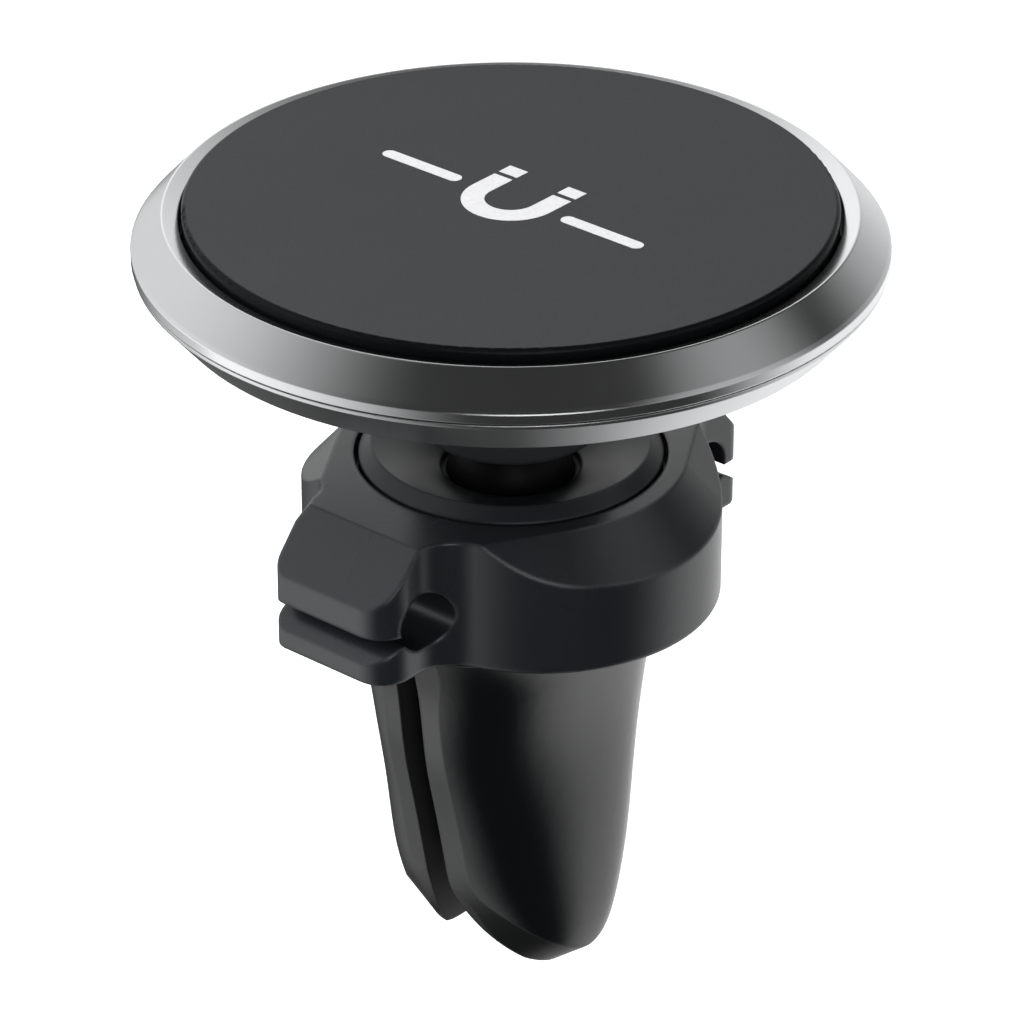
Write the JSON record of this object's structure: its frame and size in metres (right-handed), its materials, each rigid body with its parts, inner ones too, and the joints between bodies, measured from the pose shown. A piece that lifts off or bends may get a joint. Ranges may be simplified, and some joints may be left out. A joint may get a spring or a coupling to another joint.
{
  "type": "car phone mount",
  "caption": "Magnetic phone mount for an air vent: round metal-ringed head on a ball joint, over a small housing with cable clips and a sprung clip for a vane.",
  "frame": {"origin": "middle of the gap between the jaws, in the plane of the housing's underside", "axes": "+Z out of the vent, towards the phone; X through the two cable clips; the jaws open along Y, and the front jaw is the one on -Y"},
  "size_m": [0.05, 0.05, 0.0575],
  "materials": {
    "pad_rubber": "matte, very fine texture",
    "adhesive": "matte",
    "ring_metal": "satin anodised",
    "cover_metal": "satin anodised",
    "steel": "turned",
    "black_steel": "black oxide, polished",
    "magnet_plating": "nickel plated",
    "screw_steel": "satin",
    "spring_steel": "satin",
    "seat_plastic": "smooth, greased",
    "black_plastic": "satin moulded",
    "jaw_plastic": "satin moulded",
    "jaw_rubber": "matte"
  },
  "bodies": {
    "housing": {"housing": "black_plastic", "collar_ring": "black_plastic", "upper_seat": "seat_plastic", "lower_seat": "seat_plastic", "seat_spring": "spring_steel", "base_plate": "black_plastic", "base_screws": "screw_steel", "front_pivot_pin": "steel", "rear_pivot_pin": "steel", "front_jaw_spring": "spring_steel", "rear_jaw_spring": "spring_steel"},
    "ball_core": {"ball_core": "steel"},
    "ball_stud": {"ball_stud": "black_steel", "stud_screw": "screw_steel"},
    "head": {"rear_cover": "cover_metal", "bezel_ring": "ring_metal", "contact_pad": "pad_rubber", "adhesive_film": "adhesive", "steel_yoke": "steel", "magnet_tray": "black_plastic", "magnet_set": "magnet_plating", "tray_screws": "screw_steel"},
    "front_jaw": {"front_jaw": "jaw_plastic", "front_jaw_pad": "jaw_rubber"},
    "rear_jaw": {"rear_jaw": "jaw_plastic", "rear_jaw_pad": "jaw_rubber"}
  },
  "joints": [
    {"name": "tilt_side", "type": "hinge", "parent": "housing", "child": "ball_core", "pos_m": [0, 0, 0.0076], "axis": [0, 1, 0], "range_deg": [-10, 10]},
    {"name": "tilt_fore", "type": "hinge", "parent": "ball_core", "child": "ball_stud", "pos_m": [0, 0, 0.0076], "axis": [1, 0, 0], "range_deg": [-10, 10]},
    {"name": "head_turn", "type": "hinge", "parent": "ball_stud", "child": "head", "pos_m": [0, 0, 0.0076], "axis": [0, 0, 1], "continuous": true},
    {"name": "front_jaw_open", "type": "hinge", "parent": "housing", "child": "front_jaw", "pos_m": [0, -0.0024, 0.00135], "axis": [-1, 0, 0], "range_deg": [0, 3.5], "stiffness_Nm_per_rad": 0.6, "springref_deg": -3.44},
    {"name": "rear_jaw_open", "type": "hinge", "parent": "housing", "child": "rear_jaw", "pos_m": [0, 0.0024, 0.00135], "axis": [1, 0, 0], "range_deg": [0, 3.5], "stiffness_Nm_per_rad": 0.6, "springref_deg": -3.44}
  ],
  "couplings": [
    {"joint": "rear_jaw_open", "follows": "front_jaw_open", "ratio": 1}
  ]
}
